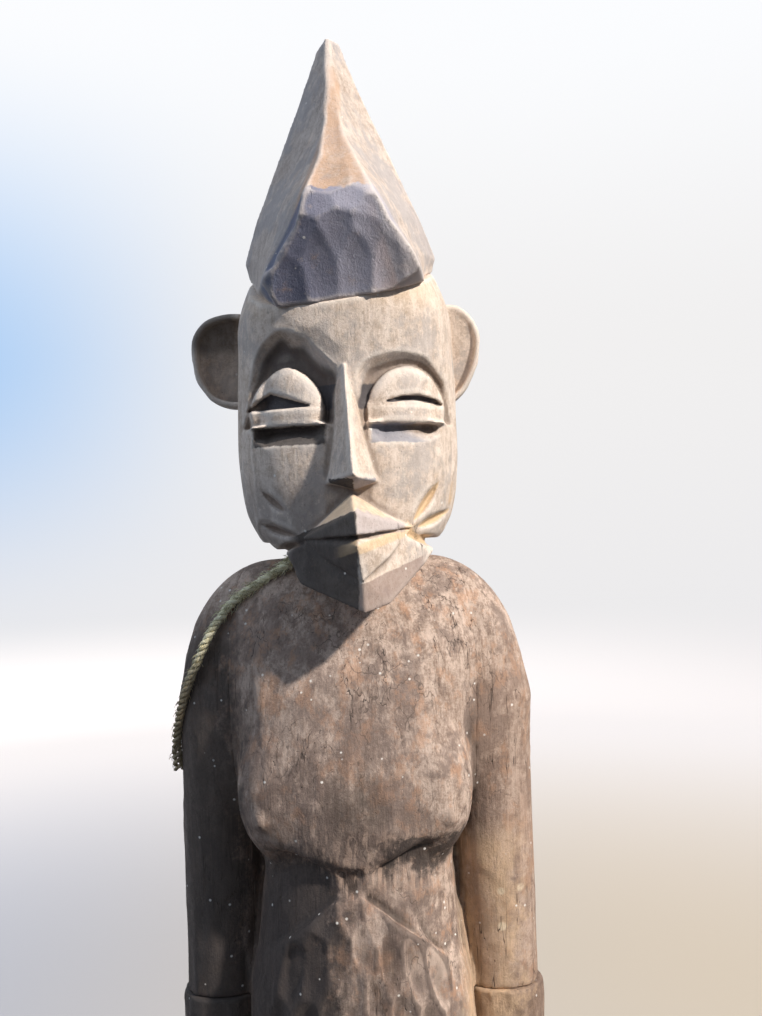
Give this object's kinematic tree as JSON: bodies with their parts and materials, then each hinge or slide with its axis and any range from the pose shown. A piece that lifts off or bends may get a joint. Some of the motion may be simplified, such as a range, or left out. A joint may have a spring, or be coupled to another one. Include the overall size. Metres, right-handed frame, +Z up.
{
  "type": "carved wooden fertility doll",
  "caption": "Standing carved wooden figure with a tall pointed crest, closed eyes, side ears, straight arms with wrist cuffs, a round base and a fibre cord at the neck.",
  "frame": {"origin": "centre of the base's underside", "axes": "+Z up along the figure, -Y the way the figure faces, +X towards the figure's own left"},
  "size_m": [0.128, 0.128, 0.456],
  "materials": {
    "head_wood": "dry, dusty, pale weathered wood",
    "crest_wood": "tool-marked, greyed wood",
    "torso_wood": "brown-grey handled wood with dark patina",
    "arm_wood": "brown-grey handled wood with dark patina",
    "cuff_wood": "dark worn wood",
    "leg_wood": "dark handled wood",
    "base_wood": "worn, chipped dark wood",
    "dowel_wood": "plain split hardwood",
    "plant_fibre": "dry twisted plant fibre"
  },
  "bodies": {
    "root": {"base": "base_wood", "right_leg": "leg_wood", "left_leg": "leg_wood", "torso": "torso_wood", "right_arm": "arm_wood", "left_arm": "arm_wood", "right_cuff": "cuff_wood", "left_cuff": "cuff_wood", "right_hand": "arm_wood", "left_hand": "arm_wood", "head": "head_wood", "right_ear": "head_wood", "left_ear": "head_wood", "crest": "crest_wood", "neck_dowel": "dowel_wood", "shoulder_dowels": "dowel_wood", "hip_dowels": "dowel_wood", "foot_dowels": "dowel_wood", "crest_dowels": "dowel_wood", "neck_cord": "plant_fibre", "cord_tail": "plant_fibre"}
  },
  "joints": []
}
